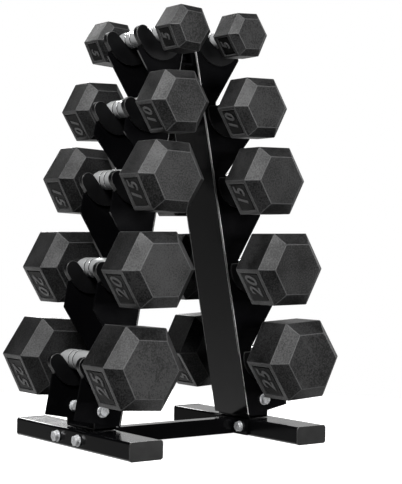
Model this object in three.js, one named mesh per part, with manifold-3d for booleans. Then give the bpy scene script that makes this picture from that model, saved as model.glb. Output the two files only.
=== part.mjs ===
// Two-sided A-frame dumbbell rack carrying five pairs of hex dumbbells.
// Millimetres, +Z up. The origin is on the floor at the centre of the bounding box.
// X runs across the frame from one upright to the other, Y along the handles and the floor tubes.
import * as THREE from "three";
import { mergeVertices } from "three/addons/utils/BufferGeometryUtils.js";
import Module from "manifold-3d";

const wasm = await Module();
wasm.setup();

// ---- Driving dimensions ----
const GAP = 0.3; // clearance between pieces that touch
const OVERRUN = 1; // how far a cutting tool runs past the material
const DEG = Math.PI / 180;
const FACETS = { bolt: 12, washer: 16, handle: 16, seat: 9, horn: 6, pad: 11, tab: 8 };

const LEAN = 10.8; // lean of each upright from the vertical, degrees
const WEB_FOOT_X = 110; // centre face of the web at the top of the floor tube
const SHEET = 3; // sheet of the uprights and brackets
const CHANNEL_WIDTH = 80; // over the outer faces of the two flanges
const FLANGE_DEPTH = 73.5; // square to the web
const UPRIGHT = { bottomZ: 29, topZ: 576 };

const BASE_Y = 2.5; // middle of the floor tubes and of the crossbar
const FOOT = { width: 50.8, height: 25.4, length: 301, wall: 2, x: 138.2 };
const CROSSBAR = { width: 20, bottomZ: 1, topZ: 24, wall: 2, drain: 3 };
const END_PLATE = { thickness: 3, width: 80 };
const FOOT_BOLT = { shank: 4, flats: 13, head: 5.5, washer: 8, washerThick: 1.6, ys: [-20, 35] };

// Bracket that ties an upright to its floor tube, and the bolt through each cheek.
const BRACKET = { innerX: 113.6, outerX: 148, base: 4, tabRadius: 13, tabFrom: -20, tabTo: 140 };
const TAB_BOLT = { shank: 4, flats: 13, head: 5.5, washer: 8.5, washerThick: 1.6, x: 138.5, z: 52.5 };

// Wedge between the two webs at the top, and the two bolts through it.
const WEDGE = { bottomZ: 530, topZ: 552, halfLength: 32, wall: 3 };
const TOP_BOLT = { shank: 4, flats: 13, head: 5.5, spread: 17, z: 541, faceX: 17 };

// Each handle rests in a pocket behind a horn, and lifts out along a slanted slot.
const SLOT_LEAN = 33.5; // from the vertical, degrees
const HANDLE_OFFSET = 42.4; // web to handle axis, measured level
const WALL = { x: -18.5, lipZ: 7, steelLipZ: 12, footZ: -2 }; // web side of the pocket
const SEAT_START = -145; // where the round seat meets that wall, degrees
const HORN = { x: 31, z: -1.3, radius: 10.8, footZ: -18.5, steelRise: 1, shoulderDrop: 0.5 };
const LINING = 3; // from the pad's outside to the flange's edge
const PAD = { cheek: 2.7, radius: 36.5, centreX: 1, from: -34, to: -190 };

const HANDLE_EXPOSED = 129; // between the two heads
const TENON = { length: 24, radius: 7 };
// Distances from the handle's middle, and steps below its radius.
const HANDLE = { gripEnd: 50, collarStart: 52, collarEnd: 57, groove: 3.4, collar: 1.6, neck: 4.5 };
const RING_GROOVES = [{ from: 21, to: 23.4 }, { from: 33, to: 35.4 }]; // on both sides of a ring
const CHAMFER = { side: 0.152, depth: 0.168 }; // of the width across flats
const LABEL = { inset: 1, acrossFlats: 0.46, alongHead: 0.44 }; // shares of the head's own sizes

// Top tier first: nominal pounds, head width across flats, head length, height of the handle axis,
// handle radius, height of the flange's outer corner below the axis, and the roll of the left
// and the right dumbbell in degrees.
const TIERS = [
  { pounds: 5, flats: 59, head: 55, z: 568, grip: 12, corner: 26, roll: [-3.6, 3.8] },
  { pounds: 10, flats: 82, head: 65, z: 468, grip: 13, corner: 38, roll: [1.7, 1.6] },
  { pounds: 15, flats: 93, head: 75, z: 367, grip: 14, corner: 47, roll: [-2.6, 1] },
  { pounds: 20, flats: 100, head: 83.5, z: 244, grip: 14, corner: 54.5, roll: [0.7, 0.8] },
  { pounds: 25, flats: 108, head: 88.5, z: 116.5, grip: 14, roll: [-3.7, 3] },
];

// ---- Materials ----
const finish = (color, roughness, metalness) =>
  new THREE.MeshStandardMaterial({ color, roughness, metalness });
const blackPaint = () => finish(0x17181a, 0.35, 0.2);
const zinc = () => finish(0xb9bcc0, 0.3, 0.9);
const chrome = () => finish(0xe4e6e8, 0.1, 1);
const rubber = () => finish(0x3a3b3d, 0.75, 0);
const padPlastic = () => finish(0x4a4c50, 0.55, 0);

// ---- Solids ----
function solidOf(geometry) {
  const bare = geometry.clone();
  bare.deleteAttribute("normal");
  bare.deleteAttribute("uv");
  const merged = mergeVertices(bare, 1e-4);
  const corners = merged.index.array;
  const triVerts = [];
  for (let i = 0; i < corners.length; i += 3) {
    const [a, b, c] = corners.slice(i, i + 3);
    if (a !== b && b !== c && c !== a) triVerts.push(a, b, c);
  }
  return new wasm.Manifold(
    new wasm.Mesh({
      numProp: 3,
      vertProperties: merged.attributes.position.array,
      triVerts: new Uint32Array(triVerts),
    }),
  );
}

function geometryOf(solid) {
  const { vertProperties, triVerts } = solid.getMesh();
  return new THREE.BufferGeometry()
    .setAttribute("position", new THREE.BufferAttribute(vertProperties, 3))
    .setIndex(new THREE.BufferAttribute(triVerts, 1));
}

const join = (geometries) =>
  geometryOf(geometries.map(solidOf).reduce((whole, part) => whole.add(part)));
const cut = (geometry, tools) =>
  geometryOf(tools.map(solidOf).reduce((whole, tool) => whole.subtract(tool), solidOf(geometry)));

const box = (x0, x1, y0, y1, z0, z1) =>
  new THREE.BoxGeometry(x1 - x0, y1 - y0, z1 - z0).translate(
    (x0 + x1) / 2,
    (y0 + y1) / 2,
    (z0 + z1) / 2,
  );

// A cylinder or prism along X, and the same along Y.
const rodX = (radius, x0, x1, y, z, sides = FACETS.bolt) =>
  new THREE.CylinderGeometry(radius, radius, x1 - x0, sides)
    .rotateZ(Math.PI / 2)
    .translate((x0 + x1) / 2, y, z);
const rodY = (radius, y0, y1, x, z, sides = FACETS.bolt) =>
  new THREE.CylinderGeometry(radius, radius, y1 - y0, sides).translate(x, (y0 + y1) / 2, z);

const hexRadius = (flats) => flats / Math.sqrt(3);

const toVector = ([x, z]) => new THREE.Vector2(x, z);

// Extrudes an outline of [x, z] points between two values of y.
function plate(outline, y0, y1) {
  return new THREE.ExtrudeGeometry(new THREE.Shape(outline.map(toVector)), {
    depth: y1 - y0,
    bevelEnabled: false,
  })
    .rotateX(Math.PI / 2)
    .translate(0, y1, 0);
}

// Moves every edge of a closed outline outwards by the same distance, or inwards if negative.
function grown(outline, distance) {
  const turn = Math.sign(THREE.ShapeUtils.area(outline.map(toVector)));
  return outline.map(([x, z], i) => {
    const [px, pz] = outline.at(i - 1);
    const [nx, nz] = outline[(i + 1) % outline.length];
    const before = new THREE.Vector2(z - pz, px - x).normalize();
    const after = new THREE.Vector2(nz - z, x - nx).normalize();
    const miter = (turn * distance) / (1 + before.dot(after));
    return [x + (before.x + after.x) * miter, z + (before.y + after.y) * miter];
  });
}

const mirrored = (outline, side) => outline.map(([x, z]) => [side * x, z]);

// Points along an arc, ends included, angles in degrees.
const arc = (cx, cz, radius, from, to, steps) =>
  Array.from({ length: steps + 1 }, (_, i) => {
    const angle = (from + ((to - from) * i) / steps) * DEG;
    return [cx + radius * Math.cos(angle), cz + radius * Math.sin(angle)];
  });

// ---- Hook geometry, drawn for the +X side about the handle axis ----
const slotSin = Math.sin(SLOT_LEAN * DEG);
const slotCos = Math.cos(SLOT_LEAN * DEG);

// A point at a given height on the line parallel to the slot, a distance outwards from its axis.
const onSlotLine = (out, z) => [(out + z * slotSin) / slotCos, z];

// The pocket and the horn, from the web-side lip to the foot of the horn's outer face.
// At inset 0 this is the outside of the pad, and at LINING it is the edge of the flange.
function hookCurve(grip, inset, lipZ) {
  const radius = grip + GAP + inset;
  const wallX = WALL.x - inset;
  const hornRadius = HORN.radius - inset;
  const hornLine = HORN.x * slotCos - HORN.z * slotSin + hornRadius;
  return [
    [wallX, lipZ],
    [wallX, WALL.footZ],
    ...arc(0, 0, radius, SEAT_START, -SLOT_LEAN, FACETS.seat),
    ...arc(HORN.x, HORN.z, hornRadius, 180 - SLOT_LEAN, -SLOT_LEAN, FACETS.horn),
    onSlotLine(hornLine, HORN.footZ + (inset > 0 ? HORN.steelRise : 0)),
  ];
}

const padOutline = (grip) => [
  ...hookCurve(grip, 0, WALL.lipZ),
  ...arc(PAD.centreX, 0, PAD.radius, PAD.from, PAD.to, FACETS.pad),
];

// ---- Uprights ----
const webX = (z) => WEB_FOOT_X - Math.tan(LEAN * DEG) * (z - FOOT.height);
const flangeOuterX = (z) => webX(z) + FLANGE_DEPTH / Math.cos(LEAN * DEG);
const handleX = (tier) => webX(tier.z) + HANDLE_OFFSET;
const aboutHandle = (tier, outline) => outline.map(([x, z]) => [x + handleX(tier), z + tier.z]);

function flangeOutline() {
  const points = [[webX(UPRIGHT.topZ), UPRIGHT.topZ]];
  for (const tier of TIERS) {
    const lipZ = tier === TIERS[0] ? UPRIGHT.topZ - tier.z : WALL.steelLipZ;
    points.push(...aboutHandle(tier, hookCurve(tier.grip, LINING, lipZ)));
    const shoulderZ = tier.z + HORN.footZ - HORN.shoulderDrop;
    points.push([flangeOuterX(shoulderZ), shoulderZ]);
    if (tier.corner) {
      const cornerZ = tier.z - tier.corner;
      points.push([flangeOuterX(cornerZ), cornerZ]);
    }
  }
  const footX = webX(UPRIGHT.bottomZ);
  points.push([
    footX + FLANGE_DEPTH * Math.cos(LEAN * DEG),
    UPRIGHT.bottomZ + FLANGE_DEPTH * Math.sin(LEAN * DEG),
  ]);
  points.push([footX, UPRIGHT.bottomZ]);
  return points;
}

const outerY = CHANNEL_WIDTH / 2;
const flangeYs = [
  [-outerY, -outerY + SHEET],
  [outerY - SHEET, outerY],
];

function upright(side) {
  const outline = flangeOutline();
  const level = SHEET / Math.cos(LEAN * DEG);
  const { bottomZ, topZ } = UPRIGHT;
  const web = [
    [webX(topZ), topZ],
    [webX(topZ) + level, topZ],
    [webX(bottomZ) + level, bottomZ + level * Math.sin(LEAN * DEG)],
    [webX(bottomZ), bottomZ],
  ];
  const sheet = join([
    plate(mirrored(web, side), -outerY, outerY),
    ...flangeYs.map(([y0, y1]) => plate(mirrored(outline, side), y0, y1)),
  ]);
  const { faceX, spread } = TOP_BOLT;
  const holes = [-1, 1].map((end) =>
    rodX(TOP_BOLT.shank + GAP, -faceX, faceX, end * spread, TOP_BOLT.z),
  );
  const reach = outerY + OVERRUN;
  holes.push(rodY(TAB_BOLT.shank + GAP, -reach, reach, side * TAB_BOLT.x, TAB_BOLT.z));
  return cut(sheet, holes);
}

// A saddle pad is a channel of plastic clipped over the flange's edge.
function saddlePad(tier, side, [y0, y1]) {
  const outside = mirrored(aboutHandle(tier, padOutline(tier.grip)), side);
  const flange = mirrored(grown(flangeOutline(), GAP), side);
  return cut(plate(outside, y0 - GAP - PAD.cheek, y1 + GAP + PAD.cheek), [
    plate(flange, y0 - GAP, y1 + GAP),
  ]);
}

// ---- Base ----
const footInnerX = FOOT.x - FOOT.width / 2;
const footOuterX = FOOT.x + FOOT.width / 2;
const footBoltZ = FOOT.height / 2;

function footTube(side) {
  const { wall, width, height, length } = FOOT;
  const half = width / 2;
  const y0 = BASE_Y - length / 2;
  const y1 = BASE_Y + length / 2;
  const outside = box(-half, half, y0, y1, 0, height);
  const inside = box(-half + wall, half - wall, y0 + wall, y1 - wall, wall, height - wall);
  const holes = FOOT_BOLT.ys.map((y) =>
    rodX(FOOT_BOLT.shank + GAP, -half - OVERRUN, half + OVERRUN, y, footBoltZ),
  );
  return cut(outside, [inside, ...holes]).translate(side * FOOT.x, 0, 0);
}

// Shank, washer and head of a bolt along X. The shank starts at x0, the washer bears on faceX.
function boltX(bolt, x0, faceX, y, z) {
  const out = Math.sign(faceX - x0);
  const rod = (radius, a, b, sides) => rodX(radius, Math.min(a, b), Math.max(a, b), y, z, sides);
  const headX = faceX + out * bolt.washerThick;
  return [
    rod(bolt.shank, x0, headX, FACETS.bolt),
    rod(bolt.washer, faceX, headX, FACETS.washer),
    rod(hexRadius(bolt.flats), headX, headX + out * bolt.head, 6),
  ];
}

// The crossbar, its welded end plates and the four bolts that clamp them to the floor tubes.
function crossbar() {
  const { bottomZ, topZ, wall, width, drain } = CROSSBAR;
  const endX = footInnerX - GAP;
  const plateX = endX - END_PLATE.thickness;
  const half = width / 2;
  const bar = cut(box(-plateX, plateX, BASE_Y - half, BASE_Y + half, bottomZ, topZ), [
    box(
      -plateX + wall,
      plateX - wall,
      BASE_Y - half + wall,
      BASE_Y + half - wall,
      bottomZ + wall,
      topZ - wall,
    ),
    new THREE.CylinderGeometry(drain, drain, 2 * (wall + OVERRUN), FACETS.bolt)
      .rotateX(Math.PI / 2)
      .translate(0, BASE_Y, bottomZ),
  ]);
  const pieces = [bar];
  const plateHalf = END_PLATE.width / 2;
  for (const side of [-1, 1]) {
    const xs = [side * plateX, side * endX].sort((a, b) => a - b);
    pieces.push(box(...xs, BASE_Y - plateHalf, BASE_Y + plateHalf, bottomZ, topZ));
    for (const y of FOOT_BOLT.ys) {
      const faceX = side * (footOuterX + GAP);
      pieces.push(...boltX(FOOT_BOLT, side * plateX, faceX, y, footBoltZ));
      const nutX = [side * (plateX - FOOT_BOLT.head), side * plateX].sort((a, b) => a - b);
      pieces.push(rodX(hexRadius(FOOT_BOLT.flats), ...nutX, y, footBoltZ, 6));
    }
  }
  return join(pieces);
}

// U-shaped bracket standing on the floor tube inside the channel, with its two bolts.
function footBracket(side) {
  const bottomZ = FOOT.height + GAP;
  const cheekOuter = outerY - SHEET - GAP;
  const cheekInner = cheekOuter - SHEET;
  const cheek = [
    [BRACKET.innerX, bottomZ],
    [BRACKET.outerX, bottomZ],
    [BRACKET.outerX, TAB_BOLT.z - BRACKET.tabRadius],
    ...arc(TAB_BOLT.x, TAB_BOLT.z, BRACKET.tabRadius, BRACKET.tabFrom, BRACKET.tabTo, FACETS.tab),
    [BRACKET.innerX, bottomZ + BRACKET.base],
  ];
  const base = [
    [BRACKET.innerX, bottomZ],
    [BRACKET.outerX, bottomZ],
    [BRACKET.outerX, bottomZ + BRACKET.base],
    [BRACKET.innerX, bottomZ + BRACKET.base],
  ];
  const pieces = [plate(base, -cheekOuter, cheekOuter)];
  for (const end of [-1, 1]) {
    const span = (a, b) => [end * a, end * b].sort((p, q) => p - q);
    const bearing = outerY + GAP;
    const headY = bearing + TAB_BOLT.washerThick;
    const rod = (radius, a, b, sides) => rodY(radius, ...span(a, b), TAB_BOLT.x, TAB_BOLT.z, sides);
    pieces.push(
      plate(cheek, ...span(cheekInner, cheekOuter)),
      rod(TAB_BOLT.shank, cheekInner, headY, FACETS.bolt),
      rod(TAB_BOLT.washer, bearing, headY, FACETS.washer),
      rod(hexRadius(TAB_BOLT.flats), headY, headY + TAB_BOLT.head, 6),
      rod(hexRadius(TAB_BOLT.flats), cheekInner - TAB_BOLT.head, cheekInner, 6),
    );
  }
  const bracket = join(pieces);
  return side > 0 ? bracket : bracket.rotateZ(Math.PI);
}

// Hollow wedge that fills the space between the webs, with the two bolts through it.
function topTie() {
  const corner = (z, side) => [side * (webX(z) - GAP / Math.cos(LEAN * DEG)), z];
  const outline = [
    corner(WEDGE.bottomZ, -1),
    corner(WEDGE.bottomZ, 1),
    corner(WEDGE.topZ, 1),
    corner(WEDGE.topZ, -1),
  ];
  const sleeve = cut(plate(outline, -WEDGE.halfLength, WEDGE.halfLength), [
    plate(grown(outline, -WEDGE.wall), -WEDGE.halfLength - OVERRUN, WEDGE.halfLength + OVERRUN),
  ]);
  const pieces = [sleeve];
  for (const end of [-1, 1]) {
    const y = end * TOP_BOLT.spread;
    pieces.push(rodX(TOP_BOLT.shank, -TOP_BOLT.faceX, TOP_BOLT.faceX, y, TOP_BOLT.z));
    for (const side of [-1, 1]) {
      const xs = [side * TOP_BOLT.faceX, side * (TOP_BOLT.faceX + TOP_BOLT.head)];
      pieces.push(
        rodX(hexRadius(TOP_BOLT.flats), ...xs.sort((a, b) => a - b), y, TOP_BOLT.z, 6),
      );
    }
  }
  return join(pieces);
}

// ---- Dumbbells ----
const headY = HANDLE_EXPOSED / 2;

// A solid of revolution about Y from a closed [radius, y] profile that starts and ends on the axis.
const turned = (profile, sides, start = 0) =>
  new THREE.LatheGeometry(profile.map(([r, y]) => new THREE.Vector2(r, y)), sides, start);

// Six-sided head with both ends chamfered, a blind bore for the handle and a label recess.
function head(tier, end) {
  const { flats, head: length } = tier;
  const radius = hexRadius(flats);
  const endRadius = hexRadius(flats * (1 - 2 * CHAMFER.side));
  const chamfer = flats * CHAMFER.depth;
  const profile = [
    [0, 0],
    [endRadius, 0],
    [radius, chamfer],
    [radius, length - chamfer],
    [endRadius, length],
    [0, length],
  ];
  const labelWidth = LABEL.acrossFlats * flats;
  const labelLength = LABEL.alongHead * length;
  const recess = new THREE.BoxGeometry(labelWidth, labelLength, 2 * LABEL.inset)
    .translate(0, end * (headY + length / 2), -flats / 2)
    .rotateY(60 * DEG);
  const depth = headY + TENON.length + GAP;
  const bore = rodY(TENON.radius + GAP, -depth, depth, 0, 0, FACETS.handle);
  const startY = end > 0 ? headY : -headY - length;
  return cut(turned(profile, 6, Math.PI / 2).translate(0, startY, 0), [bore, recess]);
}

// Chrome handle: a grip with a ring between two grooves towards each end, then at each end
// a groove, a collar, a neck and the tenon in the head.
function handle(tier) {
  const { grip } = tier;
  const { gripEnd, collarStart, collarEnd } = HANDLE;
  const shoulder = headY - GAP;
  const tip = headY + TENON.length;
  const half = [
    ...RING_GROOVES.flatMap(({ from, to }) => [
      [grip, from],
      [grip - HANDLE.groove, from],
      [grip - HANDLE.groove, to],
      [grip, to],
    ]),
    [grip, gripEnd],
    [grip - HANDLE.groove, gripEnd],
    [grip - HANDLE.groove, collarStart],
    [grip - HANDLE.collar, collarStart],
    [grip - HANDLE.collar, collarEnd],
    [grip - HANDLE.neck, collarEnd],
    [grip - HANDLE.neck, shoulder],
    [TENON.radius, shoulder],
    [TENON.radius, tip],
    [0, tip],
  ];
  const otherHalf = half.map(([radius, y]) => [radius, -y]).reverse();
  return turned([...otherHalf, ...half], FACETS.handle);
}

// ---- Assembly ----
const group = new THREE.Group();
group.name = "dumbbell_rack";

function add(name, geometry, material) {
  const mesh = new THREE.Mesh(geometry, material);
  mesh.name = name;
  group.add(mesh);
}

const SIDES = [
  ["left", -1],
  ["right", 1],
];
const ENDS = [
  ["front", -1],
  ["rear", 1],
];

for (const [sideName, side] of SIDES) {
  add(`${sideName}_foot_tube`, footTube(side), blackPaint());
  add(`${sideName}_foot_bracket`, footBracket(side), blackPaint());
  add(`${sideName}_upright`, upright(side), blackPaint());
}
add("crossbar", crossbar(), blackPaint());
add("top_tie", topTie(), zinc());

for (const tier of TIERS) {
  const label = String(tier.pounds).padStart(2, "0");
  SIDES.forEach(([sideName, side], i) => {
    const prefix = `${sideName}_${label}`;
    ENDS.forEach(([endName], j) => {
      add(`${prefix}_${endName}_pad`, saddlePad(tier, side, flangeYs[j]), padPlastic());
    });
    const place = (geometry) =>
      geometry.rotateY(-tier.roll[i] * DEG).translate(side * handleX(tier), 0, tier.z);
    add(`${prefix}_handle`, place(handle(tier)), chrome());
    for (const [endName, end] of ENDS) {
      add(`${prefix}_${endName}_head`, place(head(tier, end)), rubber());
    }
  });
}

export default group;
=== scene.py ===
"""Looks of the two-sided A-frame dumbbell rack: gloss black steel, zinc bolts, rubber hex heads."""

import math

import bmesh
import bpy
from mathutils import Matrix, Vector


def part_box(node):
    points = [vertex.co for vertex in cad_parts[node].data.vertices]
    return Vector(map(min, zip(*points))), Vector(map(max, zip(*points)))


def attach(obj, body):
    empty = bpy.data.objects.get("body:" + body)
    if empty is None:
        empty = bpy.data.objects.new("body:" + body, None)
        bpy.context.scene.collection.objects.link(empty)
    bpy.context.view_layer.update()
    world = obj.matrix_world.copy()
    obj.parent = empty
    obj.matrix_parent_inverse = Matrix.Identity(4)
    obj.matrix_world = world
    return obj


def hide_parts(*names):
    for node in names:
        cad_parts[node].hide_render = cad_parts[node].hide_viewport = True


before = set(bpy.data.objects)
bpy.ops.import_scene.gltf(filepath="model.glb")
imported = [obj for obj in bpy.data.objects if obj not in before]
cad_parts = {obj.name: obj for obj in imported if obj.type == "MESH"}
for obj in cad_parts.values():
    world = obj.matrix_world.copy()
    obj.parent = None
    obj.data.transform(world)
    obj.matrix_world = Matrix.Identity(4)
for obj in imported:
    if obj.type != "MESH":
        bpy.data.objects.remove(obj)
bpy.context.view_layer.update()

MM = 0.001
SIDES = (("left", -1), ("right", 1))
ENDS = (("front", -1), ("rear", 1))

SHARP = math.radians(50)  # edges at least this sharp stay edges in the shading
BEVELLED = math.radians(25)  # edges at least this sharp are rounded

# Top tier first: nominal pounds, width across flats and length of a head, handle radius, and the
# roll in degrees of the left and the right dumbbell.
TIERS = (
    {"pounds": 5, "flats": 59 * MM, "head": 55 * MM, "grip": 12 * MM, "rolls": (-3.6, 3.8)},
    {"pounds": 10, "flats": 82 * MM, "head": 65 * MM, "grip": 13 * MM, "rolls": (1.7, 1.6)},
    {"pounds": 15, "flats": 93 * MM, "head": 75 * MM, "grip": 14 * MM, "rolls": (-2.6, 1.0)},
    {"pounds": 20, "flats": 100 * MM, "head": 83.5 * MM, "grip": 14 * MM, "rolls": (0.7, 0.8)},
    {"pounds": 25, "flats": 108 * MM, "head": 88.5 * MM, "grip": 14 * MM, "rolls": (-3.7, 3.0)},
)

# ---- Node materials ----


class Nodes:
    """Small helper that adds and links shader nodes of one material."""

    def __init__(self, name):
        self.material = bpy.data.materials.new(name)
        self.material.use_nodes = True
        self.tree = self.material.node_tree
        self.shader = self.tree.nodes["Principled BSDF"]
        self.place = self.add("ShaderNodeTexCoord").outputs["Object"]

    def add(self, kind, **settings):
        node = self.tree.nodes.new(kind)
        for key, value in settings.items():
            setattr(node, key, value)
        return node

    def link(self, output, socket):
        self.tree.links.new(output, socket)

    def noise(self, scale, detail=3.0, roughness=0.55):
        node = self.add("ShaderNodeTexNoise")
        node.inputs["Scale"].default_value = scale
        node.inputs["Detail"].default_value = detail
        node.inputs["Roughness"].default_value = roughness
        self.link(self.place, node.inputs["Vector"])
        return node.outputs["Fac"]

    def grain(self, scale):
        node = self.add("ShaderNodeTexVoronoi")
        node.inputs["Scale"].default_value = scale
        self.link(self.place, node.inputs["Vector"])
        return node.outputs["Distance"]

    def ramp(self, value, low, high, start, stop):
        """Maps value from low..high to start..stop, which are numbers or colours."""
        if isinstance(start, tuple):
            node = self.add("ShaderNodeValToRGB")
            first, last = node.color_ramp.elements
            first.position, last.position = low, high
            first.color, last.color = (*start, 1), (*stop, 1)
            self.link(value, node.inputs["Fac"])
            return node.outputs["Color"]
        node = self.add("ShaderNodeMapRange")
        for socket, number in zip(node.inputs[1:5], (low, high, start, stop)):
            socket.default_value = number
        self.link(value, node.inputs["Value"])
        return node.outputs["Result"]

    def bump(self, height, strength, distance, normal=None):
        node = self.add("ShaderNodeBump")
        node.inputs["Strength"].default_value = strength
        node.inputs["Distance"].default_value = distance
        self.link(height, node.inputs["Height"])
        if normal is not None:
            self.link(normal, node.inputs["Normal"])
        return node.outputs["Normal"]

    def finish(self, colour, roughness, normal, metallic=0.0, specular=0.5):
        inputs = self.shader.inputs
        self.link(colour, inputs["Base Color"])
        self.link(roughness, inputs["Roughness"])
        self.link(normal, inputs["Normal"])
        inputs["Metallic"].default_value = metallic
        inputs["Specular IOR Level"].default_value = specular
        return self.material


def powder_coat():
    """Gloss black paint with slight orange peel and a few duller patches."""
    n = Nodes("black_powder_coat")
    colour = n.ramp(n.noise(9, 4), 0.35, 0.8, (0.0025, 0.0025, 0.003), (0.006, 0.006, 0.0065))
    roughness = n.ramp(n.noise(28, 5, 0.65), 0.3, 0.75, 0.11, 0.2)
    peel = n.bump(n.noise(700, 2), 0.06, 0.0002)
    return n.finish(colour, roughness, peel, specular=0.22)


def rubbed_edge(name, low, high):
    """Painted highlight along bends and edges: pale colour in uneven patches."""
    n = Nodes(name)
    colour = n.ramp(n.noise(60, 5, 0.7), 0.3, 0.7, (low, low, low), (high, high, high))
    roughness = n.ramp(n.noise(90, 3), 0.3, 0.7, 0.22, 0.4)
    return n.finish(colour, roughness, n.bump(n.noise(900, 2), 0.1, 0.0002), specular=0.6)


def dark_plastic(name, base, high, gloss):
    """Moulded plastic with a fine spark-eroded texture."""
    n = Nodes(name)
    colour = n.ramp(n.noise(40, 4), 0.3, 0.75, base, high)
    roughness = n.ramp(n.noise(60, 3), 0.3, 0.7, gloss, gloss + 0.1)
    texture = n.bump(n.noise(1800, 2), 0.18, 0.0002)
    return n.finish(colour, roughness, texture, specular=0.15)


def rubber_coat(name, base, high, specular=0.28):
    """Rubber with a pebbled skin, speckled between the two greys, with faint mould flow."""
    n = Nodes(name)
    flow = n.noise(14, 5, 0.6)
    speckle = n.noise(480, 2, 0.7)
    blend = n.add("ShaderNodeMath", operation="MULTIPLY_ADD")
    n.link(speckle, blend.inputs[0])
    blend.inputs[1].default_value = 0.6
    n.link(n.ramp(flow, 0.0, 1.0, 0.0, 0.4), blend.inputs[2])
    colour = n.ramp(blend.outputs["Value"], 0.43, 0.57, base, high)
    roughness = n.ramp(n.noise(36, 4), 0.3, 0.75, 0.4, 0.52)
    pebbles = n.bump(n.grain(950), 0.3, 0.0004)
    skin = n.bump(n.noise(420, 3), 0.22, 0.0005, pebbles)
    return n.finish(colour, roughness, skin, specular=specular)


def bright_chrome():
    """Chrome plate with hairline turning marks round the handle and faint clouding."""
    n = Nodes("handle_chrome")
    stretch = n.add("ShaderNodeMapping")
    stretch.inputs["Scale"].default_value = (4, 900, 4)
    n.link(n.place, stretch.inputs["Vector"])
    lines = n.add("ShaderNodeTexNoise")
    lines.inputs["Scale"].default_value = 1.0
    n.link(stretch.outputs["Vector"], lines.inputs["Vector"])
    colour = n.ramp(n.noise(50, 3), 0.25, 0.8, (0.86, 0.87, 0.88), (0.97, 0.98, 0.98))
    roughness = n.ramp(lines.outputs["Fac"], 0.3, 0.7, 0.1, 0.24)
    turned = n.bump(lines.outputs["Fac"], 0.06, 0.0001)
    return n.finish(colour, roughness, turned, metallic=0.5)


def zinc_plate():
    """Passivated zinc: cloudy, slightly rough, with tiny pits."""
    n = Nodes("zinc_plate")
    colour = n.ramp(n.noise(160, 4), 0.3, 0.75, (0.74, 0.75, 0.77), (0.95, 0.96, 0.97))
    roughness = n.ramp(n.noise(240, 4), 0.3, 0.7, 0.2, 0.36)
    pits = n.bump(n.noise(900, 3), 0.15, 0.0002)
    return n.finish(colour, roughness, pits, metallic=0.25)


def pale_floor():
    """Floor that glows almost white, so that it stays pale under any light."""
    n = Nodes("studio_floor")
    n.shader.inputs["Base Color"].default_value = (0.7, 0.7, 0.7, 1)
    n.shader.inputs["Roughness"].default_value = 0.7
    n.shader.inputs["Emission Color"].default_value = (1, 1, 1, 1)
    n.shader.inputs["Emission Strength"].default_value = 0.98
    return n.material


PAINT = powder_coat()
# Painted highlights: a faint pale line on rounded edges and rims, and a bright line along the bends
# of the right upright.
EDGE_HIGHLIGHT = rubbed_edge("rubbed_edge", 0.03, 0.14)
BEND_HIGHLIGHT = rubbed_edge("painted_bend_highlight", 0.55, 0.85)
PAD = dark_plastic("saddle_plastic", (0.004, 0.004, 0.0045), (0.009, 0.009, 0.0095), 0.36)
CAP = dark_plastic("end_cap_plastic", (0.026, 0.026, 0.026), (0.042, 0.042, 0.042), 0.34)
RUBBER = rubber_coat("head_rubber", (0.003, 0.003, 0.003), (0.034, 0.034, 0.0345))
# Near-black painted shade over the sunken label panel.
RECESS_SHADE = rubber_coat("recess_painted_shade", (0.002, 0.002, 0.002), (0.004, 0.004, 0.004), 0.06)
# Lighter rubber of the raised figures, which also serves as a painted highlight on the heads'
# rounded edges.
NUMERAL_AND_EDGE_HIGHLIGHT = rubber_coat("numeral_and_edge_highlight_rubber", (0.055, 0.055, 0.056), (0.09, 0.09, 0.091))
CHROME = bright_chrome()
# Near-black painted shade in the handle's grooves.
GROOVE_SHADE = dark_plastic("groove_painted_shade", (0.004, 0.004, 0.004), (0.012, 0.012, 0.012), 0.45)
ZINC = zinc_plate()

# ---- Mesh helpers ----


def new_piece(name, bm, materials, body, replaced=()):
    """Turns a bmesh into a smooth-shaded piece that rides on a body."""
    bmesh.ops.recalc_face_normals(bm, faces=bm.faces)
    mesh = bpy.data.meshes.new(name)
    bm.to_mesh(mesh)
    bm.free()
    mesh.shade_smooth()
    mesh.set_sharp_from_angle(angle=SHARP)
    piece = bpy.data.objects.new(name, mesh)
    bpy.context.scene.collection.objects.link(piece)
    for material in materials:
        mesh.materials.append(material)
    normals = piece.modifiers.new("normals", "WEIGHTED_NORMAL")
    normals.keep_sharp = True
    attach(piece, body)
    if replaced:
        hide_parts(*replaced)


def round_edges(bm, width, segments, edge_highlight_material):
    sharp = [e for e in bm.edges if e.is_manifold and e.calc_face_angle(0) > BEVELLED]
    bmesh.ops.bevel(
        bm,
        geom=sharp,
        offset=width,
        segments=segments,
        profile=0.5,
        affect="EDGES",
        clamp_overlap=True,
        material=edge_highlight_material,
    )


def add_plate(bm, outline, y0, y1, rim=0.0, segments=2, edge_highlight_material=0):
    """Extrudes an (x, z) outline from y0 to y1 and rounds its two rims."""
    part = bmesh.new()
    near = [part.verts.new((x, y0, z)) for x, z in outline]
    far = [part.verts.new((x, y1, z)) for x, z in outline]
    faces = [part.faces.new(near), part.faces.new(far[::-1])]
    count = len(outline)
    for i in range(count):
        j = (i + 1) % count
        part.faces.new((near[i], far[i], far[j], near[j]))
    if rim:
        edges = [e for face in faces for e in face.edges]
        bmesh.ops.bevel(
            part,
            geom=edges,
            offset=rim,
            segments=segments,
            profile=0.5,
            affect="EDGES",
            material=edge_highlight_material,
        )
    absorb(bm, part)


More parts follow.
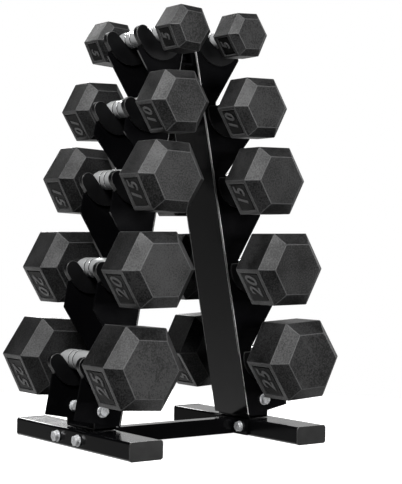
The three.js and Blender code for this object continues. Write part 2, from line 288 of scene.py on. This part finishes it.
def add_block(bm, low, high, rounding, segments=3):
    """A block with all its edges rounded."""
    part = bmesh.new()
    bmesh.ops.create_cube(part, size=1)
    size = Vector(high) - Vector(low)
    middle = (Vector(high) + Vector(low)) / 2
    place = Matrix.Translation(middle) @ Matrix.Diagonal((*size, 1))
    bmesh.ops.transform(part, matrix=place, verts=part.verts)
    bmesh.ops.bevel(
        part,
        geom=part.edges[:],
        offset=rounding,
        segments=segments,
        profile=0.5,
        affect="EDGES",
    )
    absorb(bm, part)


def add_turned(bm, profile, origin, axis, sides=40):
    """A solid of revolution from (radius, distance) points, along axis from origin."""
    part = bmesh.new()
    across = Vector(axis).orthogonal().normalized()
    other = Vector(axis).cross(across)
    rings = []
    for radius, along in profile:
        centre = Vector(origin) + Vector(axis) * along
        ring = []
        for i in range(sides):
            angle = 2 * math.pi * i / sides
            outward = across * math.cos(angle) + other * math.sin(angle)
            ring.append(part.verts.new(centre + outward * radius))
        rings.append(ring)
    for low, high in zip(rings, rings[1:]):
        for i in range(sides):
            j = (i + 1) % sides
            part.faces.new((low[i], low[j], high[j], high[i]))
    part.faces.new(rings[0][::-1])
    part.faces.new(rings[-1])
    absorb(bm, part)


def absorb(bm, part):
    """Moves the part, with its faces turned outwards, into bm."""
    bmesh.ops.recalc_face_normals(part, faces=part.faces)
    mesh = bpy.data.meshes.new("part")
    part.to_mesh(mesh)
    part.free()
    bm.from_mesh(mesh)
    bpy.data.meshes.remove(mesh)


def arc(cx, cz, radius, start, stop, steps):
    """Points (x, z) on a circle, from start to stop in degrees."""
    angles = [math.radians(start + (stop - start) * i / steps) for i in range(steps + 1)]
    return [(cx + radius * math.cos(a), cz + radius * math.sin(a)) for a in angles]


def centre_of(node):
    low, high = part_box(node)
    return (Vector(low) + Vector(high)) / 2


# ---- Frame of the rack ----

PLATE_GAP = 0.3 * MM  # between pieces that touch
FLANGES = ((-40 * MM, -37 * MM), (37 * MM, 40 * MM))  # faces of the front and the rear flange
SHEET_ROUNDING = 1.1 * MM
TIE_BREAK = 0.01  # weight of the second coordinate when corners are compared
# Thin rod along each bend of an upright that carries a painted highlight line.
HIGHLIGHT_BEAD = {"radius": 1.35 * MM, "proud": 0.12 * MM, "short": 1 * MM}


def paint_node(node, *materials):
    node.data.materials.clear()
    for material in materials:
        node.data.materials.append(material)


def soften_upright(name):
    """Rounds the bends and cut edges of the folded sheet, whose shape stays the CAD one, with a
    pale painted highlight on the rounded edges.
    """
    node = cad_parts[name]
    paint_node(node, PAINT, EDGE_HIGHLIGHT)
    bevel = node.modifiers.new("sheet_edges", "BEVEL")
    bevel.width = SHEET_ROUNDING
    bevel.segments = 3
    bevel.limit_method = "ANGLE"
    bevel.angle_limit = SHARP
    bevel.use_clamp_overlap = False
    bevel.harden_normals = True
    # The rounded edges take the pale painted edge highlight.
    bevel.material = 1


def upright_bends(side_name, side):
    """Beads along the two long bends between web and flanges that carry a painted highlight: bright
    on the right upright, faint on the left, which the light reaches less.
    """
    node = f"{side_name}_upright"
    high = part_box(node)[1]
    corners = [v.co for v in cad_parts[node].data.vertices]
    bottom = min(corners, key=lambda c: c.z + side * c.x * TIE_BREAK)
    top = min(corners, key=lambda c: side * c.x - c.z * TIE_BREAK)
    radius = HIGHLIGHT_BEAD["radius"]
    inset = radius - HIGHLIGHT_BEAD["proud"]
    for end_name, end in ENDS:
        y = end * (high[1] - inset)
        start = Vector((bottom.x + side * inset, y, bottom.z + HIGHLIGHT_BEAD["short"]))
        stop = Vector((top.x + side * inset, y, top.z - HIGHLIGHT_BEAD["short"]))
        length = (stop - start).length
        profile = [
            (radius / 2, 0),
            (radius, radius),
            (radius, length - radius),
            (radius / 2, length),
        ]
        bm = bmesh.new()
        add_turned(bm, profile, start, (stop - start).normalized(), 20)
        # Bright painted highlight on the right upright, a fainter painted highlight on the left.
        highlight_material = BEND_HIGHLIGHT if side > 0 else EDGE_HIGHLIGHT
        new_piece(f"{side_name}_{end_name}_bend", bm, [highlight_material], "rack")


TUBE_CORNER = 3 * MM
TUBE_RIM = 0.3 * MM
CAP_THICKNESS = 2.2 * MM
CAP_LIP = 0.35 * MM  # how far the cap stands out past the tube
CAP_RIM = 0.8 * MM


def rounded_rectangle(low, high, radius):
    """Outline in (x, z) with round corners."""
    corners = (
        (high[0] - radius, high[2] - radius, 0),
        (low[0] + radius, high[2] - radius, 90),
        (low[0] + radius, low[2] + radius, 180),
        (high[0] - radius, low[2] + radius, 270),
    )
    return [point for x, z, start in corners for point in arc(x, z, radius, start, start + 90, 6)]


def foot_tube(side_name):
    """Rectangular tube with rolled corners, closed by a plastic cap at each end."""
    node = f"{side_name}_foot_tube"
    low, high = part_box(node)
    lip = Vector((CAP_LIP, 0, CAP_LIP))
    section = rounded_rectangle(Vector(low) + lip, Vector(high) - lip, TUBE_CORNER)
    bm = bmesh.new()
    add_plate(bm, section, low[1] + CAP_THICKNESS, high[1] - CAP_THICKNESS, TUBE_RIM)
    new_piece(f"{side_name}_tube", bm, [PAINT], "rack", (node,))
    outline = rounded_rectangle(low, high, TUBE_CORNER)
    for end_name, y0 in (("front", low[1]), ("rear", high[1] - CAP_THICKNESS)):
        bm = bmesh.new()
        # The cap's rounded rim takes the pale painted edge highlight.
        add_plate(bm, outline, y0, y0 + CAP_THICKNESS, CAP_RIM, 3, 1)
        new_piece(f"{side_name}_{end_name}_cap", bm, [CAP, EDGE_HIGHLIGHT], "rack")


BOLT_FLATS = 13 * MM
# Washer radius, washer thickness and height of the hexagon, on each side of a bolted joint.
FOOT_HEAD = (8 * MM, 1.6 * MM, 5.5 * MM)
FOOT_NUT = (7.8 * MM, 0.5 * MM, 5 * MM)
FLANGE_HEAD = (8.5 * MM, 1.6 * MM, 5.5 * MM)
FLANGE_NUT = (8 * MM, 0.9 * MM, 4.6 * MM)
SHANK_TIP = [(3.8 * MM, 0), (3.8 * MM, 5.2 * MM), (3 * MM, 5.5 * MM)]


def add_bolt(bm, face, axis, washer, washer_thick, head):
    """Washer and hexagon with a chamfered crown, standing on the point face along axis."""
    axis = Vector(axis)
    face = Vector(face)
    edge = 0.25 * washer_thick
    disc = [
        (washer - edge, 0),
        (washer, edge),
        (washer, washer_thick - edge),
        (washer - edge, washer_thick),
        (washer * 0.5, washer_thick),
    ]
    corner = BOLT_FLATS / math.sqrt(3)
    hexagon = [
        (corner * 0.97, 0),
        (corner, 0.3 * MM),
        (corner, head * 0.78),
        (corner * 0.9, head * 0.97),
    ]
    crown = [
        (corner * 0.8, head * 0.7),
        (corner * 0.8, head * 0.985),
        (corner * 0.66, head),
        (corner * 0.1, head * 0.97),
    ]
    base = face + axis * washer_thick
    add_turned(bm, disc, face, axis)
    add_turned(bm, hexagon, base, axis, 6)
    add_turned(bm, crown, base, axis, 28)


FOOT_BOLT_Y = (-20 * MM, 35 * MM)
FOOT_BOLT_Z = 12.7 * MM
CROSSBAR = {"half_width": 10 * MM, "bottom": 1 * MM, "top": 24 * MM, "rounding": 1.8 * MM}
END_PLATE = {"thickness": 3 * MM, "half_width": 40 * MM, "rounding": 0.6 * MM}
WELD = {"length": 2.2 * MM, "half_width": 1.6 * MM, "short": 1 * MM, "rounding": 0.9 * MM}


def crossbar():
    """Floor crossbar with a welded plate at each end, and the bolts through the floor tubes."""
    tube_low, tube_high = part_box("right_foot_tube")
    end = tube_low[0] - PLATE_GAP
    inner = end - END_PLATE["thickness"]
    y = (tube_low[1] + tube_high[1]) / 2
    half, reach = CROSSBAR["half_width"], END_PLATE["half_width"]
    z0, z1 = CROSSBAR["bottom"], CROSSBAR["top"]
    bm = bmesh.new()
    add_block(bm, (-inner, y - half, z0), (inner, y + half, z1), CROSSBAR["rounding"])
    for side in (-1, 1):
        x0, x1 = sorted((side * end, side * inner))
        add_block(bm, (x0, y - reach, z0), (x1, y + reach, z1), END_PLATE["rounding"], 2)
        x0, x1 = sorted((side * inner, side * (inner - WELD["length"])))
        for edge in (-1, 1):
            weld_y = y + edge * half
            add_block(
                bm,
                (x0, weld_y - WELD["half_width"], z0 + WELD["short"]),
                (x1, weld_y + WELD["half_width"], z1 - WELD["short"]),
                WELD["rounding"],
                2,
            )
    new_piece("crossbar_tube", bm, [PAINT], "rack", ("crossbar",))
    for side_name, side in SIDES:
        outer = side * (tube_high[0] + PLATE_GAP)
        for i, bolt_y in enumerate(FOOT_BOLT_Y):
            back = (side * inner, bolt_y, FOOT_BOLT_Z)
            bm = bmesh.new()
            add_bolt(bm, (outer, bolt_y, FOOT_BOLT_Z), (side, 0, 0), *FOOT_HEAD)
            add_bolt(bm, back, (-side, 0, 0), *FOOT_NUT)
            add_turned(bm, SHANK_TIP, back, (-side, 0, 0), 24)
            new_piece(f"{side_name}_foot_bolt_{i + 1}", bm, [ZINC], "rack")


BRACKET = {"inner": 113.6 * MM, "outer": 148 * MM, "bottom": 25.7 * MM, "base": 4 * MM}
BRACKET_ROUNDING = 0.8 * MM
CHEEK = {"inside": 33.7 * MM, "outside": 36.7 * MM, "rim": 0.5 * MM}
TAB = {"x": 138.5 * MM, "z": 52.5 * MM, "radius": 13 * MM, "from": -20, "to": 140}


def foot_bracket(side_name, side):
    """U-shaped bracket with rounded cheeks, on the floor tube inside the channel."""
    bottom = BRACKET["bottom"]
    top = bottom + BRACKET["base"]
    cheek = [
        (BRACKET["inner"], bottom),
        (BRACKET["outer"], bottom),
        (BRACKET["outer"], TAB["z"] - TAB["radius"]),
        *arc(TAB["x"], TAB["z"], TAB["radius"], TAB["from"], TAB["to"], 24),
        (BRACKET["inner"], top),
    ]
    outline = [(side * x, z) for x, z in cheek]
    inside, outside = CHEEK["inside"], CHEEK["outside"]
    bm = bmesh.new()
    add_plate(bm, outline, -outside, -inside, CHEEK["rim"])
    add_plate(bm, outline, inside, outside, CHEEK["rim"])
    x0, x1 = sorted((side * BRACKET["inner"], side * BRACKET["outer"]))
    add_block(bm, (x0, -outside, bottom), (x1, outside, top), BRACKET_ROUNDING)
    replaced = (f"{side_name}_foot_bracket",)
    new_piece(f"{side_name}_bracket", bm, [PAINT], "rack", replaced)
    x, z = side * TAB["x"], TAB["z"]
    flange_face = FLANGES[1][1] + PLATE_GAP
    for end_name, end in ENDS:
        bm = bmesh.new()
        add_bolt(bm, (x, end * flange_face, z), (0, end, 0), *FLANGE_HEAD)
        add_bolt(bm, (x, end * inside, z), (0, -end, 0), *FLANGE_NUT)
        new_piece(f"{side_name}_{end_name}_flange_bolt", bm, [ZINC], "rack")


# ---- Saddle pads ----

# Places are measured from the axis of the handle, away from the web.
SLOT_LEAN = 33.5  # degrees from the vertical
SLOT_SIN = math.sin(math.radians(SLOT_LEAN))
SLOT_COS = math.cos(math.radians(SLOT_LEAN))
POCKET = {"wall": -18.5 * MM, "lip": 7 * MM, "foot": -2 * MM, "from": -145}
POCKET_CLEARANCE = 0.3 * MM
HORN = {"x": 31 * MM, "z": -1.3 * MM, "radius": 10.8 * MM, "foot": -18.5 * MM}
LINING = 2.6 * MM
LINING_OVERLAP = 0.5 * MM  # into each cheek
PAD_DISC = {"x": 1 * MM, "radius": 36.5 * MM, "from": -34, "to": -190}
PAD_CHEEK = 2.7 * MM
PAD_RIM = 0.7 * MM


def hook_curve(grip, inset):
    """The pocket and the horn from the lip on the web side to the foot of the horn."""
    wall = POCKET["wall"] - inset
    radius = grip + POCKET_CLEARANCE + inset
    horn = HORN["radius"] - inset
    line = HORN["x"] * SLOT_COS - HORN["z"] * SLOT_SIN + horn
    foot = HORN["foot"] + inset / 3
    return [
        (wall, POCKET["lip"]),
        (wall, POCKET["foot"]),
        *arc(0, 0, radius, POCKET["from"], -SLOT_LEAN, 18),
        *arc(HORN["x"], HORN["z"], horn, 180 - SLOT_LEAN, -SLOT_LEAN, 16),
        ((line + foot * SLOT_SIN) / SLOT_COS, foot),
    ]


def saddle_pad(name, grip, side, centre, flange):
    """Two rimmed cheeks joined by the lining that runs over the flange's edge."""

    def placed(outline):
        return [(centre.x + side * x, centre.z + z) for x, z in outline]

    pocket = hook_curve(grip, 0)
    disc = arc(PAD_DISC["x"], 0, PAD_DISC["radius"], PAD_DISC["from"], PAD_DISC["to"], 26)
    cheek = placed(pocket + disc)
    strip = placed(pocket + hook_curve(grip, LINING)[::-1])
    near, far = flange[0] - PLATE_GAP, flange[1] + PLATE_GAP
    bm = bmesh.new()
    # The cheeks' rounded rims take the pale painted edge highlight.
    add_plate(bm, cheek, near - PAD_CHEEK, near, PAD_RIM, 2, 1)
    add_plate(bm, cheek, far, far + PAD_CHEEK, PAD_RIM, 2, 1)
    add_plate(bm, strip, near - LINING_OVERLAP, far + LINING_OVERLAP)
    new_piece(f"{name}_cover", bm, [PAD, EDGE_HIGHLIGHT], "rack", (name,))


# ---- Dumbbells ----

HEAD_START = 64.5 * MM  # from the middle of the handle
CHAMFER = {"side": 0.152, "depth": 0.168}  # of the width across flats
HEAD_ROUNDING = {"share": 0.011, "most": 0.9 * MM}
# Shares of the width across flats (across, moat) and of the head's length (along, figures).
LABEL = {"side": 3, "across": 0.46, "moat": 0.035, "along": 0.44, "figures": 0.36}
LABEL_WALL = 0.8 * MM  # taken off the recess by its two sloping walls
MOAT_DEPTH = 1.6 * MM
LABEL_DEPTH = 0.7 * MM
FIGURE_RISE = 0.35 * MM  # middle of the figures over the label
FIGURES = {"slant": 0.28, "half_depth": 0.45 * MM, "bevel": 0.15 * MM, "weight": 0.35 * MM}
FIGURE_SPACING = 1.12


def numeral_mesh(text, height):
    """Raised italic figures, centred at the origin, reading along +X with +Z outwards."""
    curve = bpy.data.curves.new("figures", "FONT")
    curve.body = text
    curve.size = height
    curve.shear = FIGURES["slant"]
    curve.extrude = FIGURES["half_depth"]
    curve.bevel_depth = FIGURES["bevel"]
    curve.bevel_resolution = 1
    curve.offset = FIGURES["weight"]
    curve.space_character = FIGURE_SPACING
    curve.align_x = "CENTER"
    curve.align_y = "CENTER"
    helper = bpy.data.objects.new("figures", curve)
    bpy.context.scene.collection.objects.link(helper)
    bpy.context.view_layer.update()
    mesh = bpy.data.meshes.new_from_object(helper)
    bpy.data.objects.remove(helper)
    bpy.data.curves.remove(curve)
    return mesh


def hex_head(name, tier, end, roll, centre, body):
    """Chamfered hexagon with a framed label recess and raised figures on its lower left face."""
    flats, length = tier["flats"], tier["head"]
    radius = flats / math.sqrt(3)
    end_radius = radius * (1 - 2 * CHAMFER["side"])
    chamfer = flats * CHAMFER["depth"]
    stations = (
        (end_radius, 0),
        (radius, chamfer),
        (radius, length - chamfer),
        (end_radius, length),
    )
    bm = bmesh.new()
    rings = []
    for ring_radius, distance in stations:
        y = end * (HEAD_START + distance)
        hexagon = arc(0, 0, ring_radius, 0, 300, 5)
        rings.append([bm.verts.new((x, y, z)) for x, z in hexagon])
    bm.faces.new(rings[0])
    bm.faces.new(rings[-1])
    bands = [
        [bm.faces.new((near[i - 1], near[i], far[i], far[i - 1])) for i in (1, 2, 3, 4, 5, 0)]
        for near, far in zip(rings, rings[1:])
    ]
    label = bands[1][LABEL["side"]]
    bmesh.ops.recalc_face_normals(bm, faces=bm.faces)
    bm.normal_update()
    out = label.normal.copy()
    middle = label.calc_center_median()
    along = Vector((0, 1, 0))
    across = out.cross(along).normalized()

    def inset(width, height, depth):
        """Frames the label with a new face of this size, at this depth below the head's side."""
        bmesh.ops.inset_individual(
            bm, faces=[label], thickness=LABEL_WALL, depth=0, use_even_offset=True
        )
        for vert in label.verts:
            offset = vert.co - middle
            u = math.copysign(width / 2, offset.dot(across))
            v = math.copysign(height / 2, offset.dot(along))
            vert.co = middle + across * u + along * v - out * depth

    width, height = LABEL["across"] * flats, LABEL["along"] * length
    moat = LABEL["moat"] * flats
    inset(width, height, 0)
    inset(width - LABEL_WALL, height - LABEL_WALL, MOAT_DEPTH)
    # From here on the label panel, its moat floor and its inner walls get the near-black painted
    # shade.
    label.material_index = 2
    inset(width - moat, height - moat, MOAT_DEPTH)
    inset(width - moat - LABEL_WALL, height - moat - LABEL_WALL, LABEL_DEPTH)
    # The rounded edges take the figures' lighter rubber as a painted edge highlight.
    round_edges(bm, min(HEAD_ROUNDING["most"], HEAD_ROUNDING["share"] * flats), 2, 1)

    figures = numeral_mesh(str(tier["pounds"]), LABEL["figures"] * length)
    basis = Matrix((across * end, along * -end, out)).transposed()
    seat = middle - out * (LABEL_DEPTH - FIGURE_RISE)
    figures.transform(Matrix.Translation(seat) @ basis.to_4x4())
    shell_faces = set(bm.faces)
    bm.from_mesh(figures)
    for face in set(bm.faces) - shell_faces:
        face.material_index = 1
    bpy.data.meshes.remove(figures)

    turn = Matrix.Rotation(math.radians(-roll), 4, "Y")
    place = Matrix.Translation((centre.x, 0, centre.z)) @ turn
    bmesh.ops.transform(bm, matrix=place, verts=bm.verts)
    new_piece(name + "_shell", bm, [RUBBER, NUMERAL_AND_EDGE_HIGHLIGHT, RECESS_SHADE], body, (name,))


# Distances from the middle of the handle, and steps below its radius.
PLAIN = 12 * MM
RING_GROOVES = ((21 * MM, 23.4 * MM), (33 * MM, 35.4 * MM))
GROOVE_DEPTH = 3.4 * MM
GROOVE_EDGE = 0.5 * MM
GROOVE_DRAFT = 0.15 * MM
COLLAR_STEP = 1.6 * MM
NECK_STEP = 4.5 * MM
# Painted shade: faces of the handle inside this zone and sunk below its radius are near-black.
GROOVE_SHADE_ZONE = {"reach": 53 * MM, "step": 1.2 * MM}  # dark inside it


def handle(name, grip, centre, body):
    """Chrome handle: a ring between two grooves, a collar and a neck towards each head."""

    def groove(start, stop):
        return [
            (grip, start - GROOVE_EDGE),
            (grip - GROOVE_EDGE, start),
            (grip - GROOVE_DEPTH, start + GROOVE_DRAFT),
            (grip - GROOVE_DEPTH, stop - GROOVE_DRAFT),
            (grip - GROOVE_EDGE, stop),
            (grip, stop + GROOVE_EDGE),
        ]

    collar = grip - COLLAR_STEP
    neck = grip - NECK_STEP
    half = [
        (grip, PLAIN),
        *(point for start, stop in RING_GROOVES for point in groove(start, stop)),
        (grip, 49.4 * MM),
        (grip - GROOVE_EDGE, 50 * MM),
        (grip - GROOVE_DEPTH, 50.2 * MM),
        (grip - GROOVE_DEPTH, 51.8 * MM),
        (collar - 0.4 * MM, 52 * MM),
        (collar, 52.5 * MM),
        (collar, 56.5 * MM),
        (collar - 0.4 * MM, 57 * MM),
        (neck - 1.2 * MM, 57.2 * MM),
        (neck - 1.2 * MM, 58.6 * MM),
        (neck, 59 * MM),
        (neck, HEAD_START + 1 * MM),
    ]
    profile = [(radius, -y) for radius, y in half[::-1]] + half
    bm = bmesh.new()
    add_turned(bm, profile, (centre.x, 0, centre.z), (0, 1, 0), 56)
    # Faces sunk in the grooves get the near-black painted shade.
    for face in bm.faces:
        middle = face.calc_center_median()
        radius = math.hypot(middle.x - centre.x, middle.z - centre.z)
        if abs(middle.y) < GROOVE_SHADE_ZONE["reach"] and radius < grip - GROOVE_SHADE_ZONE["step"]:
            face.material_index = 1
    new_piece(name + "_bar", bm, [CHROME, GROOVE_SHADE], body, (name,))


# ---- Build ----

for side_name, side in SIDES:
    soften_upright(f"{side_name}_upright")
    upright_bends(side_name, side)
    foot_tube(side_name)
    foot_bracket(side_name, side)
crossbar()
paint_node(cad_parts["top_tie"], PAINT)

for tier in TIERS:
    for (side_name, side), roll in zip(SIDES, tier["rolls"]):
        prefix = f"{side_name}_{tier['pounds']:02d}"
        body = f"dumbbell_{prefix}"
        centre = centre_of(f"{prefix}_handle")
        for (end_name, end), flange in zip(ENDS, FLANGES):
            saddle_pad(f"{prefix}_{end_name}_pad", tier["grip"], side, centre, flange)
            hex_head(f"{prefix}_{end_name}_head", tier, end, roll, centre, body)
        handle(f"{prefix}_handle", tier["grip"], centre, body)

# ---- Studio ----

# Direction, cosines where the glow starts and is full, and its strength.
GLOWS = (
    ((0.45, 0.8, 0.4), 0.76, 0.93, 0.25),
    ((0.586, 0.81, 0.0), 0.82, 0.97, 0.6),
    ((-0.47, 0.8, -0.35), 0.88, 0.98, 0.31),
    ((-0.22, 0.68, -0.7), 0.86, 0.97, 1.3),
    ((0.1, 0.5, -0.85), 0.5, 0.8, 0.85),
)
DIM = 0.003  # strength of the world between the glows

# Name, place and side of the square lamp in metres, and power in watts.
LIGHTS = (
    ("front", (0.42, -2.86, 0.35), 1.0, 54),
    ("upper_left", (-1.4, -1.0, 1.9), 0.7, 58),
    ("back_glint", (0.2, 1.7, 1.5), 0.25, 4),
    ("rear", (0.9, 2.6, 1.3), 1.1, 50),
    ("right", (2.3, -0.2, 0.9), 0.8, 16),
)
AIM = Vector((0, 0, 0.3))

FLOOR_RADIUS = 0.66
FLOOR_DROP = 0.2 * MM  # below the feet

LOOK = Vector((0.5860, 0.8103, 0.0015)).normalized()
TARGET = Vector((33.75, -24.41, 281.1)) * MM
DISTANCE = 1942.6 * MM
ROLL = math.radians(0.528)
LENS, SENSOR = 122, 36  # millimetres


def studio_floor():
    """Disc under the feet, hidden from bounced light and reflections."""
    bm = bmesh.new()
    bmesh.ops.create_circle(bm, cap_ends=True, segments=96, radius=FLOOR_RADIUS)
    mesh = bpy.data.meshes.new("floor")
    bm.to_mesh(mesh)
    bm.free()
    mesh.materials.append(pale_floor())
    floor = bpy.data.objects.new("floor", mesh)
    floor.location.z = -FLOOR_DROP
    bpy.context.scene.collection.objects.link(floor)
    floor.visible_diffuse = False
    floor.visible_glossy = False


def studio_world():
    """White to the camera; it lights the object from bright patches in dim surroundings."""
    world = bpy.data.worlds.new("studio")
    bpy.context.scene.world = world
    world.use_nodes = True
    nodes, links = world.node_tree.nodes, world.node_tree.links
    nodes.clear()
    coords = nodes.new("ShaderNodeTexCoord")

    def glow(direction, start, stop, bright):
        dot = nodes.new("ShaderNodeVectorMath")
        dot.operation = "DOT_PRODUCT"
        dot.inputs[1].default_value = direction
        links.new(coords.outputs["Generated"], dot.inputs[0])
        ramp = nodes.new("ShaderNodeMapRange")
        ramp.interpolation_type = "SMOOTHSTEP"
        for socket, number in zip(ramp.inputs[1:5], (start, stop, DIM, bright)):
            socket.default_value = number
        links.new(dot.outputs["Value"], ramp.inputs["Value"])
        return ramp.outputs["Result"]

    total = None
    for direction, start, stop, bright in GLOWS:
        part = glow(Vector(direction).normalized(), start, stop, bright)
        if total is not None:
            both = nodes.new("ShaderNodeMath")
            links.new(total, both.inputs[0])
            links.new(part, both.inputs[1])
            part = both.outputs["Value"]
        total = part
    lit = nodes.new("ShaderNodeBackground")
    links.new(total, lit.inputs["Strength"])
    seen = nodes.new("ShaderNodeBackground")
    seen.inputs["Color"].default_value = (1, 1, 1, 1)
    path = nodes.new("ShaderNodeLightPath")
    mix = nodes.new("ShaderNodeMixShader")
    links.new(path.outputs["Is Camera Ray"], mix.inputs["Fac"])
    links.new(lit.outputs["Background"], mix.inputs[1])
    links.new(seen.outputs["Background"], mix.inputs[2])
    out = nodes.new("ShaderNodeOutputWorld")
    links.new(mix.outputs["Shader"], out.inputs["Surface"])


def area_light(name, place, size, power):
    data = bpy.data.lights.new(name, "AREA")
    data.shape = "SQUARE"
    data.size = size
    data.energy = power
    light = bpy.data.objects.new(name, data)
    light.location = place
    light.rotation_euler = (AIM - Vector(place)).to_track_quat("-Z", "Y").to_euler()
    light.visible_camera = False
    bpy.context.scene.collection.objects.link(light)


def add_camera():
    data = bpy.data.cameras.new("camera")
    data.sensor_fit = "HORIZONTAL"
    data.sensor_width = SENSOR
    data.lens = LENS
    camera = bpy.data.objects.new("camera", data)
    level = LOOK.cross(Vector((0, 0, 1))).normalized()
    upward = level.cross(LOOK)
    right = level * math.cos(ROLL) + upward * math.sin(ROLL)
    up = upward * math.cos(ROLL) - level * math.sin(ROLL)
    pose = Matrix((right, up, -LOOK)).transposed().to_4x4()
    pose.translation = TARGET - LOOK * DISTANCE
    camera.matrix_world = pose
    bpy.context.scene.collection.objects.link(camera)
    bpy.context.scene.camera = camera


studio_floor()
studio_world()
for light in LIGHTS:
    area_light(*light)
add_camera()
bpy.context.scene.view_settings.view_transform = "Standard"
